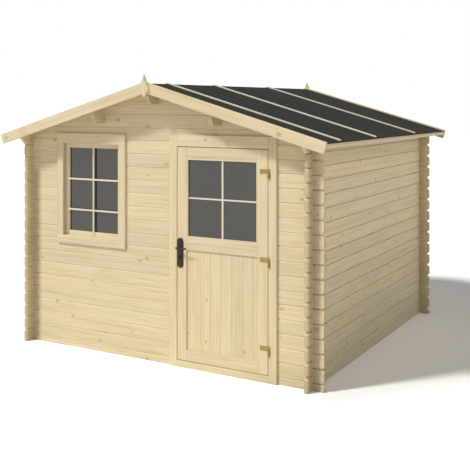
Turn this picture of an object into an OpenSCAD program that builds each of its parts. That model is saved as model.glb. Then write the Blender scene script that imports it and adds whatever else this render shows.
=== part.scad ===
// Log-built garden shed with a glazed door, one front window and a felted gable roof.
// X runs to the right along the front, Y runs from front to back, Z is up from the ground.
// The origin is on the ground in the middle of the building.

/* [Building] */
// Distance between the outer faces of the two side walls
wall_span_x = 2800; // [2600:10:3200]
// Distance between the outer faces of the front and back walls
wall_span_y = 2800; // [2600:10:3200]
// Thickness of a wall log
wall_t = 28; // [24:1:34]
// Height of one log course
course_h = 112; // [100:1:130]
// Length of a front log beyond the left wall
front_log_end_left = 74; // [60:1:120]
// Length of a front log beyond the right wall
front_log_end_right = 94; // [60:1:120]
// Length of a back log beyond the side wall
back_log_end = 100; // [60:1:120]
// Length of a side log beyond the front or back wall
side_log_end = 86; // [40:1:110]
// Height of the V groove at a log joint
groove_h = 13; // [8:1:18]
// Depth of the V groove at a log joint
groove_d = 5; // [3:1:7]
// Depth of the notch between two log ends
end_notch_d = 22; // [10:1:26]
// Height of the notch between two log ends
end_notch_h = 31; // [16:1:40]

/* [Roof] */
// Slope of the roof in degrees
pitch = 16.1; // [14:0.1:18]
// Overhang of the roof boards beyond the side walls
eaves_overhang = 184; // [140:1:220]
// Overhang of the front bargeboards beyond the front wall
front_overhang = 189; // [150:1:220]
// Overhang of the rear bargeboards beyond the back wall
rear_overhang = 285; // [200:1:320]
// Thickness of the roof boards
roof_board_t = 18; // [15:1:22]
// Thickness of the roofing felt
felt_t = 3; // [2:0.5:5]
// Thickness of a bargeboard
barge_t = 20; // [16:1:25]
// Depth of a bargeboard
barge_depth = 90; // [80:1:110]
// Height of a bargeboard's top edge above the felt
barge_rise = 12; // [5:1:15]
// Thickness of a purlin
purlin_t = 40; // [34:1:60]
// Depth of a purlin below the roof boards
purlin_depth = 149; // [100:1:160]
// Distance of the left side purlin's middle from the ridge line
left_purlin_x = 567; // [500:1:640]
// Distance of the right side purlin's middle from the ridge line
right_purlin_x = 597; // [500:1:640]
// Length of the sloping cut under a purlin's nose
nose_depth = 38; // [20:1:90]
// Height of the sloping cut under a purlin's nose
nose_height = 70; // [20:1:90]
// Length of the sloping cut under the nose of a top side log
eaves_nose_cut = 74; // [50:1:90]
// Width of a batten on the felt
felt_batten_w = 28; // [20:1:50]
// Thickness of a batten on the felt
felt_batten_t = 11; // [10:1:28]
// Distance of the first felt batten behind the front wall's face
felt_batten_front = 160; // [120:1:260]
// Distance of the middle felt batten behind the front wall's face
felt_batten_middle = 963; // [900:1:1100]
// Distance of the last felt batten behind the front wall's face
felt_batten_rear = 2075; // [2000:1:2250]
// Distance from a felt batten's lower end to the edge of the felt
felt_batten_stop = 28; // [20:1:60]
// Width of the batten under the eaves
eaves_batten_w = 45; // [35:1:60]
// Thickness of the batten under the eaves
eaves_batten_t = 18; // [14:1:24]
// Distance of the eaves batten behind the edge of the roof boards
eaves_batten_setback = 6; // [3:1:12]
// Clearance between sloping faces that lie on each other
slope_gap = 0.1; // [0.05:0.05:0.5]
// Width of a finial board
finial_w = 84; // [60:1:100]
// Height of a finial board
finial_h = 195; // [160:1:240]
// Height of a finial's widest point above its lower tip
finial_waist = 77; // [60:1:100]
// Depth of a finial's lower tip below the top of the bargeboards
finial_drop = 133; // [110:1:150]
// Thickness of a finial board
finial_t = 18; // [14:1:24]

/* [Floor] */
// Width and height of a floor bearer
bearer_s = 38; // [30:1:45]
// Number of floor bearers
bearer_count = 5; // [3:2:7]

/* [Doorway] */
// Distance of the doorway's middle to the right of the building's middle
door_x = 622; // [600:0.5:650]
// Width of the door leaf
leaf_w = 826; // [780:1:860]
// Height of the door leaf
leaf_h = 1746; // [1600:1:2050]
// Thickness of the door leaf
leaf_t = 40; // [36:1:46]
// Gap between the door leaf and what surrounds it, kept on the latch side all through the swing
leaf_gap = 5; // [5:1:8]
// Width of a stile of the door
stile_w = 86; // [80:1:110]
// Height of the top rail of the door
top_rail_h = 90; // [70:1:110]
// Height of the middle rail of the door
mid_rail_h = 100; // [80:1:120]
// Height of the bottom rail of the door
bottom_rail_h = 90; // [70:1:120]
// Height of the lower panel of the door
panel_h = 816; // [700:1:850]
// Thickness of the lower panel
panel_t = 14; // [10:1:18]
// Depth of the panel's face behind the face of the door
panel_setback = 12; // [5:1:14]
// Thickness of a jamb of the door frame
jamb_t = 35; // [28:1:45]
// Depth of the door frame behind the front wall's face
jamb_d = 60; // [50:1:80]
// Least height of the door frame's head
door_head_h = 30; // [25:1:40]
// Width of the stop that the door closes towards
stop_w = 12; // [8:1:16]
// Height of the stop at the threshold
threshold_h = 20; // [12:1:26]

/* [Casings] */
// Thickness of the casing boards round the door and window
casing_t = 20; // [15:1:20]
// Width of the door casing's side boards
door_casing_w = 70; // [55:1:80]
// Height of the door casing's top board
door_casing_top_h = 95; // [80:1:110]
// Width of the window casing's side boards
window_casing_w = 68; // [50:1:80]
// Height of the window casing's top board
window_casing_top_h = 91; // [70:1:100]
// Height of the window casing's bottom board
window_casing_bottom_h = 71; // [50:1:90]

/* [Window] */
// Distance of the window's middle to the left of the building's middle
window_x = 697.5; // [660:0.5:730]
// Clear width inside the window frame
window_w = 613; // [500:1:640]
// Clear height inside the window frame
window_h = 820; // [700:1:850]
// Thickness of the window frame's sides
window_frame_t = 30; // [24:1:38]
// Thickness of the window frame's head and sill
window_head_t = 38; // [28:1:45]
// Depth of the window frame behind the front wall's face
window_frame_d = 66; // [55:1:80]
// Depth of the sash's face behind the front wall's face
sash_setback = 24; // [15:1:40]
// Thickness of the sash
sash_t = 26; // [25:1:30]
// Depth of the window's glass behind the sash's face
window_glass_setback = 18; // [8:1:18]
// Width of a sash stile
sash_stile_w = 38; // [28:1:50]
// Height of a sash rail
sash_rail_h = 40; // [30:1:55]
// Thickness of the glass in the door and window
glass_t = 4; // [3:1:6]

/* [Hardware] */
// Radius of a hinge knuckle
knuckle_r = 7.5; // [6:0.5:9]
// Radius of a hinge pin
hinge_pin_r = 4; // [3:0.5:5]
// Height of each half of a hinge knuckle
knuckle_h = 36; // [30:1:45]
// Gap between a knuckle and the face of the casing
knuckle_gap = 1.5; // [1:0.5:3]
// Distance of the hinge pin beyond the edge of the door leaf
hinge_offset = 10; // [8:0.5:11]
// Length of a hinge strap on the door, from the hinge pin
strap_l = 76; // [60:1:90]
// Thickness of a hinge plate
hinge_plate_t = 3; // [2:0.5:4]
// Distance of the outer hinges' middles from the ends of the door
hinge_end_gap = 188; // [150:1:220]
// Height of the middle hinge's middle above the leaf's lower edge
hinge_middle_z = 872; // [800:1:950]
// Width of the handle plate outside
handle_plate_w = 58; // [44:1:60]
// Height of a handle plate
handle_plate_h = 246; // [200:1:260]
// Width of the handle plate inside
inner_plate_w = 36; // [30:1:40]
// Thickness of a handle plate
handle_plate_t = 8; // [4:1:10]
// Distance of the handle's spindle from the edge of the door leaf
spindle_inset = 30; // [28:1:40]
// Height of the handle's spindle above the leaf's lower edge
spindle_z = 922; // [850:1:1000]
// Height of the handle's spindle above the middle of its plate
spindle_above_plate = 44; // [30:1:60]
// Radius of the handle's spindle
spindle_r = 4.5; // [4:0.5:5]
// Radius of the lever's neck
lever_neck_r = 9; // [8:0.5:11]
// Radius of the lever's grip
lever_grip_r = 8; // [6:0.5:9]
// Length of the lever from its spindle
lever_l = 88; // [80:1:120]
// Length of the lever's blunt end on the other side of its spindle
lever_back = 20; // [16:1:30]
// Distance from the door's face to the middle of the lever's grip
lever_reach = 50; // [42:1:60]
// Radial clearance of a turning pin in its bore
running_clearance = 0.05; // [0.05:0.01:0.1]
// Clearance between pieces that turn past each other
turn_gap = 0.5; // [0.4:0.1:1]

/* [Hidden] */
$fn = 48;

pine = "burlywood";
felt_grey = "dimgray";
glass_grey = "lightslategray";
brass = "goldenrod";
iron = "darkslategray";

// Planes of the building
front_y = -wall_span_y / 2;
back_y = wall_span_y / 2;
side_x = wall_span_x / 2;
room_x = side_x - wall_t;
room_y = back_y - wall_t;
far = wall_span_x + wall_span_y;

// Heights: front and back logs start with half a course, so their joints lie between the side joints.
// The walls have as many courses as the door and its head need.
half_course = course_h / 2;
leaf_bottom = half_course + leaf_gap;
leaf_top = leaf_bottom + leaf_h;
frame_top = leaf_top + leaf_gap;
courses_to_lintel = ceil((frame_top + door_head_h - half_course) / course_h);
side_courses = courses_to_lintel + 1;
eaves_log_z = courses_to_lintel * course_h;
lintel_z = eaves_log_z + half_course;
eaves_z = side_courses * course_h;
ridge_z = eaves_z + side_x * tan(pitch);

// Roof, measured along the slope from the ridge and square to it from the boards' underside
slope_l = (side_x + eaves_overhang) / cos(pitch);
felt_top = roof_board_t + felt_t;
barge_top = felt_top + barge_rise * cos(pitch);
roof_front_y = front_y - front_overhang + barge_t;
roof_back_y = back_y + rear_overhang - barge_t;
finial_tip_z = ridge_z + barge_top / cos(pitch) - finial_drop;

// Doorway
leaf_left = door_x - leaf_w / 2;
leaf_right = door_x + leaf_w / 2;
leaf_face_y = front_y - casing_t;
leaf_back_y = leaf_face_y + leaf_t;
hinge_x = leaf_right + hinge_offset;
hinge_y = leaf_face_y - knuckle_r - knuckle_gap;
swing_r = norm([hinge_x - leaf_left, leaf_back_y - hinge_y]);
frame_left = hinge_x - swing_r - leaf_gap;
frame_right = leaf_right + leaf_gap;
hole_left = frame_left - jamb_t;
hole_right = frame_right + jamb_t;
stop_y = leaf_back_y + leaf_gap;
casing_y = front_y - casing_t;
light_left = leaf_left + stile_w;
light_right = leaf_right - stile_w;
panel_bottom = leaf_bottom + bottom_rail_h;
panel_top = panel_bottom + panel_h;
light_bottom = panel_top + mid_rail_h;
light_top = leaf_top - top_rail_h;

// Window
window_left = -window_x - window_w / 2;
window_right = -window_x + window_w / 2;
window_top = lintel_z - window_head_t;
window_bottom = window_top - window_h;
sash_y = front_y + sash_setback;

// Hinges and handle
hinge_zs = [leaf_bottom + hinge_end_gap, leaf_bottom + hinge_middle_z, leaf_top - hinge_end_gap];
spindle_x = leaf_left + spindle_inset;
spindle_height = leaf_bottom + spindle_z;
plate_z = spindle_height - spindle_above_plate;

// Height of a purlin's underside
function purlin_bottom(x) = ridge_z - abs(x) * tan(pitch) - purlin_depth;

// Joint heights of the side walls, and of the front and back walls
side_joints = [for (k = [1 : side_courses - 1]) k * course_h];
cross_joints = [for (k = [0 : floor(ridge_z / course_h) - 1]) k * course_h + half_course];

// Range between two values in either order
function span(a, b) = [min(a, b), max(a, b)];

// Box between two corners
module box(x, y, z) {
    translate([x[0], y[0], z[0]]) cube([x[1] - x[0], y[1] - y[0], z[1] - z[0]]);
}

// Polygon in the XZ plane carried along Y
module along_y(y0, y1) {
    translate([0, y1, 0]) rotate([90, 0, 0]) linear_extrude(y1 - y0) children();
}

// Polygon in the YZ plane carried along X
module along_x(x0, x1) {
    translate([x0, 0, 0]) rotate([90, 0, 90]) linear_extrude(x1 - x0) children();
}

// Section of a log wall between two faces, with a V groove at each joint on both faces
module log_section(a0, a1, joints) {
    r = groove_h / 2;
    outer = [for (j = joints) each [[a0, j - r], [a0 + groove_d, j], [a0, j + r]]];
    inner = [for (i = [len(joints) - 1 : -1 : 0]) let (j = joints[i])
        each [[a1, j + r], [a1 - groove_d, j], [a1, j - r]]];
    polygon(concat([[a0, 0]], outer, [[a0, ridge_z], [a1, ridge_z]], inner, [[a1, 0]]));
}

// Outline of a stack of log ends, notched at each joint; low and high are distances from the middle
module log_outline(low, high, joints) {
    d = end_notch_d;
    r = end_notch_h / 2;
    right = [for (j = joints) each [[high, j - r], [high - d, j], [high, j + r]]];
    left = [for (i = [len(joints) - 1 : -1 : 0]) let (j = joints[i])
        each [[-low, j + r], [d - low, j], [-low, j - r]]];
    polygon(concat([[high, 0]], right, [[high, ridge_z], [-low, ridge_z]], left, [[-low, 0]]));
}

// Band between two heights, seen from the front or the side
module band(z0, z1) {
    translate([-far, z0]) square([2 * far, z1 - z0]);
}

// Area under the roof boards, seen from the front
module under_roof() {
    x = side_x + eaves_overhang;
    edge_z = ridge_z - x * tan(pitch);
    polygon([[-x, 0], [x, 0], [x, edge_z], [0, ridge_z], [-x, edge_z]]);
}

// Layer of the right-hand roof slope between two distances square to the boards' underside
module slope_layer(n0, n1, s0, s1) {
    function at(s, n) = [s * cos(pitch) + n * sin(pitch), ridge_z - s * sin(pitch) + n * cos(pitch)];
    function start(n) = s0 > 0 ? at(s0, n) : [0, ridge_z + n / cos(pitch)];
    polygon([start(n0), start(n1), at(s1, n1), at(s1, n0)]);
}

// Seats of the crossing logs: one wall keeps the upper and lower quarters, the other the middle
module cross_seats(y0) {
    for (k = [0 : side_courses]) for (side = [-1, 1])
        box(span(side * room_x, side * side_x), [y0, y0 + wall_t],
            [(k + 0.25) * course_h, (k + 0.75) * course_h]);
}

module side_seats(x0, y0) {
    for (k = [0 : side_courses])
        box([x0, x0 + wall_t], [y0, y0 + wall_t], [(k - 0.25) * course_h, (k + 0.25) * course_h]);
}

// Front or back wall between two heights, as logs that run the whole width
module cross_wall(y0, end_left, end_right, z0, z1) {
    difference() {
        intersection() {
            along_x(-far, far) log_section(y0, y0 + wall_t, cross_joints);
            along_y(-far, far) intersection() {
                log_outline(side_x + end_left, side_x + end_right, cross_joints);
                under_roof();
                band(z0, z1);
            }
        }
        cross_seats(y0);
        purlin_slots();
    }
}

// Slots in the gables that are open at the top, where the purlins lie in them
module purlin_slots() {
    for (x = [-left_purlin_x, 0, right_purlin_x])
        box([x - purlin_t / 2, x + purlin_t / 2], [-far, far], [purlin_bottom(x), ridge_z + 1]);
}

// Logs of a side wall within an outline seen from the side
module side_logs(side) {
    x0 = side > 0 ? room_x : -side_x;
    difference() {
        intersection() {
            along_y(-far, far) intersection() {
                log_section(x0, x0 + wall_t, side_joints);
                under_roof();
            }
            along_x(-far, far) children();
        }
        side_seats(x0, front_y);
        side_seats(x0, room_y);
    }
}

module side_wall(side) {
    color(pine) side_logs(side) intersection() {
        log_outline(back_y + side_log_end, back_y + side_log_end, side_joints);
        band(0, eaves_log_z);
    }
}

module ridge_purlin_section() {
    x = purlin_t / 2;
    top = ridge_z - slope_gap;
    polygon([[-x, purlin_bottom(0)], [x, purlin_bottom(0)], [x, top - x * tan(pitch)], [0, top],
        [-x, top - x * tan(pitch)]]);
}

module side_purlin_section(x) {
    x0 = x - purlin_t / 2;
    x1 = x + purlin_t / 2;
    z = purlin_bottom(x);
    top = ridge_z - slope_gap;
    polygon([[x0, z], [x1, z], [x1, top - abs(x1) * tan(pitch)], [x0, top - abs(x0) * tan(pitch)]]);
}

// Keeps a purlin between the bargeboards, with a sloping cut under each nose
module nosed(bottom) {
    intersection() {
        children();
        along_x(-far, far) polygon([[roof_front_y + nose_depth, bottom], [roof_back_y - nose_depth, bottom],
            [roof_back_y, bottom + nose_height], [roof_back_y, ridge_z + 1], [roof_front_y, ridge_z + 1],
            [roof_front_y, bottom + nose_height]]);
    }
}

// The right-hand piece as drawn, or its mirror image on the left
module on_side(side) {
    mirror([side > 0 ? 0 : 1, 0, 0]) children();
}

module front_sill_log() {
    color(pine) cross_wall(front_y, front_log_end_left, front_log_end_right, 0, half_course);
}

module front_wall_left() {
    color(pine) difference() {
        cross_wall(front_y, front_log_end_left, front_log_end_right, half_course, lintel_z);
        box([hole_left, far], [-far, far], [0, lintel_z + 1]);
        box([window_left - window_frame_t, window_right + window_frame_t], [-far, 0],
            [window_bottom - window_head_t, lintel_z + 1]);
    }
}

module front_wall_right() {
    color(pine) intersection() {
        cross_wall(front_y, front_log_end_left, front_log_end_right, half_course, lintel_z);
        box([hole_right, far], [-far, far], [0, lintel_z]);
    }
}

module front_wall_gable() {
    color(pine) cross_wall(front_y, front_log_end_left, front_log_end_right, lintel_z, ridge_z);
}

module back_wall() {
    color(pine) cross_wall(room_y, back_log_end, back_log_end, 0, ridge_z);
}

module left_wall() {
    side_wall(-1);
}

module right_wall() {
    side_wall(1);
}

// Top logs of the side walls, which run on under the roof and carry the bargeboards
module eaves_logs() {
    nose_z = eaves_log_z + eaves_nose_cut;
    color(pine) for (side = [-1, 1]) side_logs(side)
        polygon([[roof_front_y + eaves_nose_cut, eaves_log_z], [roof_back_y - eaves_nose_cut, eaves_log_z],
            [roof_back_y, nose_z], [roof_back_y, ridge_z], [roof_front_y, ridge_z], [roof_front_y, nose_z]]);
}

module floor_bearers() {
    pitch_y = 2 * (room_y - bearer_s) / (bearer_count - 1);
    color(pine) for (i = [0 : bearer_count - 1])
        let (y = (i - (bearer_count - 1) / 2) * pitch_y)
            box([-room_x, room_x], [y - bearer_s / 2, y + bearer_s / 2], [0, bearer_s]);
}

module floor_boards() {
    color(pine) box([-room_x, room_x], [-room_y, room_y], [bearer_s, half_course]);
}

module ridge_purlin() {
    color(pine) nosed(purlin_bottom(0)) along_y(roof_front_y, roof_back_y) ridge_purlin_section();
}

module side_purlins() {
    color(pine) for (x = [-left_purlin_x, right_purlin_x])
        nosed(purlin_bottom(x)) along_y(roof_front_y, roof_back_y) side_purlin_section(x);
}

module roof_boards(side) {
    color(pine) on_side(side) along_y(roof_front_y, roof_back_y) slope_layer(0, roof_board_t, 0, slope_l);
}

module roof_boards_left() {
    roof_boards(-1);
}

module roof_boards_right() {
    roof_boards(1);
}

module roof_felt(side) {
    color(felt_grey) on_side(side) along_y(roof_front_y, roof_back_y)
        slope_layer(roof_board_t, felt_top, 0, slope_l);
}

module roof_felt_left() {
    roof_felt(-1);
}

module roof_felt_right() {
    roof_felt(1);
}

module roof_battens(side) {
    color(pine) on_side(side) for (d = [felt_batten_front, felt_batten_middle, felt_batten_rear])
        along_y(front_y + d - felt_batten_w / 2, front_y + d + felt_batten_w / 2)
            slope_layer(felt_top + slope_gap, felt_top + felt_batten_t, 0, slope_l - felt_batten_stop);
}

module roof_battens_left() {
    roof_battens(-1);
}

module roof_battens_right() {
    roof_battens(1);
}

module bargeboard(side, y0) {
    color(pine) on_side(side) along_y(y0, y0 + barge_t)
        slope_layer(barge_top - barge_depth, barge_top, 0, slope_l);
}

module front_bargeboard_left() {
    bargeboard(-1, front_y - front_overhang);
}

module front_bargeboard_right() {
    bargeboard(1, front_y - front_overhang);
}

module rear_bargeboard_left() {
    bargeboard(-1, roof_back_y);
}

module rear_bargeboard_right() {
    bargeboard(1, roof_back_y);
}

module finials() {
    color(pine) for (y = [front_y - front_overhang - finial_t, roof_back_y + barge_t])
        along_y(y, y + finial_t) translate([0, finial_tip_z])
            polygon([[0, 0], [finial_w / 2, finial_waist], [0, finial_h], [-finial_w / 2, finial_waist]]);
}

module eaves_batten(side) {
    end = slope_l - eaves_batten_setback;
    color(pine) on_side(side) along_y(roof_front_y, roof_back_y)
        slope_layer(-eaves_batten_t, -slope_gap, end - eaves_batten_w, end);
}

module eaves_batten_left() {
    eaves_batten(-1);
}

module eaves_batten_right() {
    eaves_batten(1);
}

// Jambs, each with the stop that the door closes towards
module door_jambs() {
    y1 = front_y + jamb_d;
    z = [half_course, frame_top];
    color(pine) for (side = [-1, 1]) let (x = side < 0 ? frame_left : frame_right) union() {
        box(span(x, x + side * jamb_t), [front_y, y1], z);
        box(span(x + side, x - side * stop_w), [stop_y, y1], z);
    }
}

module door_head() {
    y1 = front_y + jamb_d;
    color(pine) union() {
        box([hole_left, hole_right], [front_y, y1], [frame_top, lintel_z]);
        box([frame_left + stop_w, frame_right - stop_w], [stop_y, y1], [frame_top - stop_w, frame_top + 1]);
    }
}

module door_threshold() {
    color(pine) box([frame_left + stop_w, frame_right - stop_w], [stop_y, front_y + jamb_d],
        [half_course, half_course + threshold_h]);
}

module door_casing_sides() {
    top = frame_top + door_casing_top_h;
    color(pine) for (x = [frame_left - door_casing_w, frame_right])
        box([x, x + door_casing_w], [casing_y, front_y], [0, top]);
}

// Casing boards over the door and under it, between the side boards
module door_casing_ends() {
    color(pine) for (z = [[0, half_course], [frame_top, frame_top + door_casing_top_h]])
        box([frame_left, frame_right], [casing_y, front_y], z);
}

module window_frame_sides() {
    color(pine) for (x = [window_left - window_frame_t, window_right])
        box([x, x + window_frame_t], [front_y, front_y + window_frame_d],
            [window_bottom - window_head_t, lintel_z]);
}

module window_head_and_sill() {
    color(pine) for (z = [window_bottom - window_head_t, window_top])
        box([window_left, window_right], [front_y, front_y + window_frame_d], [z, z + window_head_t]);
}

module window_casing_sides() {
    color(pine) for (x = [window_left - window_casing_w, window_right])
        box([x, x + window_casing_w], [casing_y, front_y], [window_bottom, window_top]);
}

module window_casing_ends() {
    x = [window_left - window_casing_w, window_right + window_casing_w];
    color(pine) {
        box(x, [casing_y, front_y], [window_bottom - window_casing_bottom_h, window_bottom]);
        box(x, [casing_y, front_y], [window_top, window_top + window_casing_top_h]);
    }
}

module window_sash_stiles() {
    color(pine) for (x = [window_left, window_right - sash_stile_w])
        box([x, x + sash_stile_w], [sash_y, sash_y + sash_t], [window_bottom, window_top]);
}

module window_sash_rails() {
    color(pine) for (z = [window_bottom, window_top - sash_rail_h])
        box([window_left + sash_stile_w, window_right - sash_stile_w], [sash_y, sash_y + sash_t],
            [z, z + sash_rail_h]);
}

module window_glass() {
    y = sash_y + window_glass_setback;
    color(glass_grey, 0.6) box([window_left + sash_stile_w, window_right - sash_stile_w], [y, y + glass_t],
        [window_bottom + sash_rail_h, window_top - sash_rail_h]);
}

// Fixed half of each hinge: lower knuckle, pin and a plate on the casing
module hinge_posts() {
    web = knuckle_r + knuckle_gap - 1;
    plate_h = knuckle_h - turn_gap;
    color(brass) for (z = hinge_zs) translate([hinge_x, hinge_y, z - knuckle_h]) union() {
        cylinder(r = knuckle_r, h = knuckle_h);
        cylinder(r = hinge_pin_r, h = 2 * knuckle_h - hinge_plate_t);
        translate([frame_right - hinge_x, knuckle_r + knuckle_gap - hinge_plate_t, 0])
            cube([hinge_x - frame_right + knuckle_r, hinge_plate_t, plate_h]);
        translate([-hinge_plate_t, 0, 0]) cube([2 * hinge_plate_t, web, plate_h]);
    }
}

module door_stiles() {
    bore_r = spindle_r + running_clearance;
    color(pine) difference() {
        for (x = [leaf_left, light_right])
            box([x, x + stile_w], [leaf_face_y, leaf_back_y], [leaf_bottom, leaf_top]);
        translate([spindle_x, leaf_back_y + 1, spindle_height]) rotate([90, 0, 0])
            cylinder(r = bore_r, h = leaf_t + 2);
    }
}

module door_rails() {
    x = [light_left, light_right];
    y = [leaf_face_y, leaf_back_y];
    color(pine) {
        box(x, y, [leaf_bottom, panel_bottom]);
        box(x, y, [panel_top, light_bottom]);
        box(x, y, [light_top, leaf_top]);
    }
}

module door_panel() {
    y = leaf_face_y + panel_setback;
    color(pine) box([light_left, light_right], [y, y + panel_t], [panel_bottom, panel_top]);
}

module door_glass() {
    y = (leaf_face_y + leaf_back_y - glass_t) / 2;
    color(glass_grey, 0.6) box([light_left, light_right], [y, y + glass_t], [light_bottom, light_top]);
}

// Moving half of each hinge: upper knuckle and the strap on the door's face
module hinge_straps() {
    web = knuckle_r + knuckle_gap - 1;
    plate_h = knuckle_h - turn_gap;
    color(brass) for (z = hinge_zs) translate([hinge_x, hinge_y, z + turn_gap]) difference() {
        union() {
            cylinder(r = knuckle_r, h = plate_h);
            translate([-strap_l, knuckle_r + knuckle_gap - hinge_plate_t, 0])
                cube([strap_l - hinge_offset + 1, hinge_plate_t, plate_h]);
            translate([-hinge_offset - 1, 0, 0]) cube([hinge_offset + 1, web, plate_h]);
        }
        translate([0, 0, -1]) cylinder(r = hinge_pin_r + running_clearance, h = knuckle_h + 2);
    }
}

module handle_plate(y, w) {
    r = w / 2;
    straight = handle_plate_h / 2 - r;
    translate([spindle_x, y + handle_plate_t, 0]) rotate([90, 0, 0]) difference() {
        union() {
            translate([-r, plate_z - straight, 0]) cube([2 * r, 2 * straight, handle_plate_t]);
            for (z = [plate_z - straight, plate_z + straight])
                translate([0, z, 0]) cylinder(r = r, h = handle_plate_t);
        }
        translate([0, spindle_height, -1]) cylinder(r = spindle_r + running_clearance, h = handle_plate_t + 2);
    }
}

module handle_plates() {
    color(iron) {
        handle_plate(leaf_face_y - handle_plate_t, handle_plate_w);
        handle_plate(leaf_back_y, inner_plate_w);
    }
}

// Spindle with a neck and a grip on each side of the door
module door_lever() {
    outside_y = leaf_face_y - lever_reach;
    inside_y = leaf_back_y + lever_reach;
    neck_gap = handle_plate_t + turn_gap;
    color(iron) translate([spindle_x, 0, spindle_height]) union() {
        translate([0, inside_y, 0]) rotate([90, 0, 0]) cylinder(r = spindle_r, h = inside_y - outside_y);
        for (span = [[outside_y, leaf_face_y - neck_gap], [leaf_back_y + neck_gap, inside_y]])
            translate([0, span[1], 0]) rotate([90, 0, 0]) cylinder(r = lever_neck_r, h = span[1] - span[0]);
        for (y = [outside_y, inside_y]) translate([0, y, 0]) {
            rotate([0, 90, 0]) translate([0, 0, lever_grip_r - lever_back])
                cylinder(r = lever_grip_r, h = lever_l + lever_back - 2 * lever_grip_r);
            for (x = [lever_grip_r - lever_back, lever_l - lever_grip_r])
                translate([x, 0, 0]) sphere(r = lever_grip_r);
        }
    }
}

front_sill_log();
front_wall_left();
front_wall_right();
front_wall_gable();
back_wall();
left_wall();
right_wall();
eaves_logs();
floor_bearers();
floor_boards();
ridge_purlin();
side_purlins();
roof_boards_left();
roof_boards_right();
roof_felt_left();
roof_felt_right();
roof_battens_left();
roof_battens_right();
front_bargeboard_left();
front_bargeboard_right();
rear_bargeboard_left();
rear_bargeboard_right();
finials();
eaves_batten_left();
eaves_batten_right();
door_jambs();
door_head();
door_threshold();
door_casing_sides();
door_casing_ends();
window_frame_sides();
window_head_and_sill();
window_casing_sides();
window_casing_ends();
window_sash_stiles();
window_sash_rails();
window_glass();
hinge_posts();
door_stiles();
door_rails();
door_panel();
door_glass();
hinge_straps();
handle_plates();
door_lever();
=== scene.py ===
import math
import random

import bmesh
import bpy
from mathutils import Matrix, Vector


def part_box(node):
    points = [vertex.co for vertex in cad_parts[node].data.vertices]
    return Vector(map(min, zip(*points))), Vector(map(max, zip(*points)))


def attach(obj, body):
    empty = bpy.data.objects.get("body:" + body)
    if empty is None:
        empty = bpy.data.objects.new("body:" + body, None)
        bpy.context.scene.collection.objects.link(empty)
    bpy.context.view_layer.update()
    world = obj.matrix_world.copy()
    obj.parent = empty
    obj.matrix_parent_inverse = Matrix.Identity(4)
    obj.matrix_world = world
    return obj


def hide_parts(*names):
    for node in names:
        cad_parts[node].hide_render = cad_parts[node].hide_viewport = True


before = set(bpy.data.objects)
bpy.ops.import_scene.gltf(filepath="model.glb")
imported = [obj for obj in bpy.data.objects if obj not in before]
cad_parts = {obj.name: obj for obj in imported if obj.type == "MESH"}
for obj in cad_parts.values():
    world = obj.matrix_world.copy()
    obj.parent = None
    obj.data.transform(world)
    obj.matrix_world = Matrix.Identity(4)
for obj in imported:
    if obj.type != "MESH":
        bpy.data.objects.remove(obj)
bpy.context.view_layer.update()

# ------------------------ sizes, in metres

COURSE = 0.112  # height of a log
HALF_COURSE = COURSE / 2
SLOPE = math.radians(16.1)  # of the roof
GROOVE_H = 0.013  # V groove between two logs
GROOVE_D = 0.005
NOTCH_D = 0.022  # notch between two log ends
NOTCH_H = 0.031
SLOT_D = 0.008  # depth of the slot where two logs don't quite close
TINY = 1e-6


def low(node):
    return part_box(node)[0]


def high(node):
    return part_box(node)[1]


FRONT_Y = low("front_wall_left").y
FRONT_ROOM_Y = high("front_wall_left").y
BACK_Y = high("back_wall").y
BACK_ROOM_Y = low("back_wall").y
SIDE_X = high("right_wall").x
ROOM_X = low("right_wall").x
FRONT_ENDS = (-low("front_sill_log").x, high("front_sill_log").x)  # of the crossing logs
BACK_ENDS = (-low("back_wall").x, high("back_wall").x)
LOG_END_Y = high("right_wall").y
ROOF_FRONT_Y = low("roof_boards_left").y
ROOF_BACK_Y = high("roof_boards_left").y
LINTEL_Z = high("front_wall_left").z
EAVES_LOG_Z = low("eaves_logs").z
EAVES_Z = EAVES_LOG_Z + COURSE
RIDGE_Z = EAVES_Z + SIDE_X * math.tan(SLOPE)  # underside of the roof boards


def roof_z(x):
    return RIDGE_Z - abs(x) * math.tan(SLOPE)


# ------------------------ materials


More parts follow.
